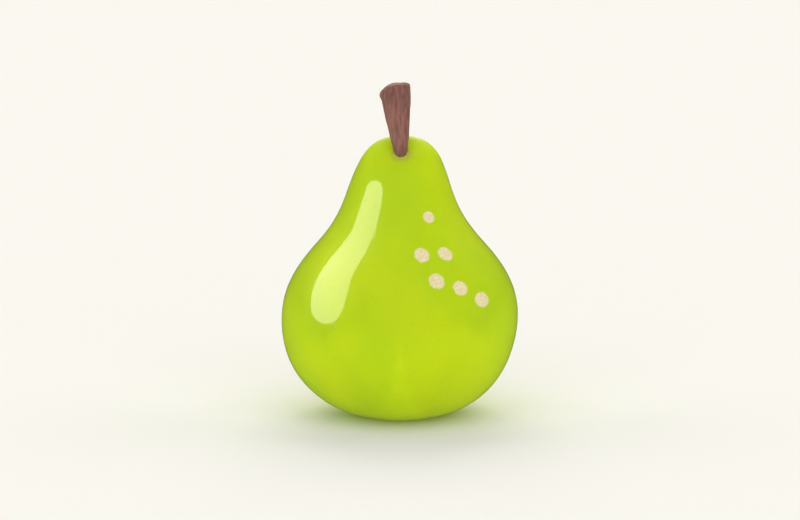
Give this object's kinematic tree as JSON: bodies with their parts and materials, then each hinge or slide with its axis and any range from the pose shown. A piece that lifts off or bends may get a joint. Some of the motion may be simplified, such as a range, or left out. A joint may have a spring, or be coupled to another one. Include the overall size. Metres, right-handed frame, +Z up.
{
  "type": "pear",
  "caption": "Whole green pear standing upright, with a round belly, a narrow neck, a woody stem in a hollow at the top and a dried eye in the hollow underneath.",
  "frame": {"origin": "centre of the ring at the blossom end that the pear stands on, at the height of the surface under it", "axes": "+Z up along the pear towards the stem, -Y the front, where the hollow round the stem is open, +X to the right seen from the front"},
  "size_m": [0.072, 0.0709, 0.1017],
  "materials": {
    "skin": "satin",
    "stem_bark": "matte",
    "dried_calyx": "matte"
  },
  "bodies": {
    "root": {"fruit": "skin", "stem": "stem_bark", "dried_stamens": "dried_calyx", "sepal_1": "dried_calyx", "sepal_2": "dried_calyx", "sepal_3": "dried_calyx", "sepal_4": "dried_calyx", "sepal_5": "dried_calyx"}
  },
  "joints": []
}
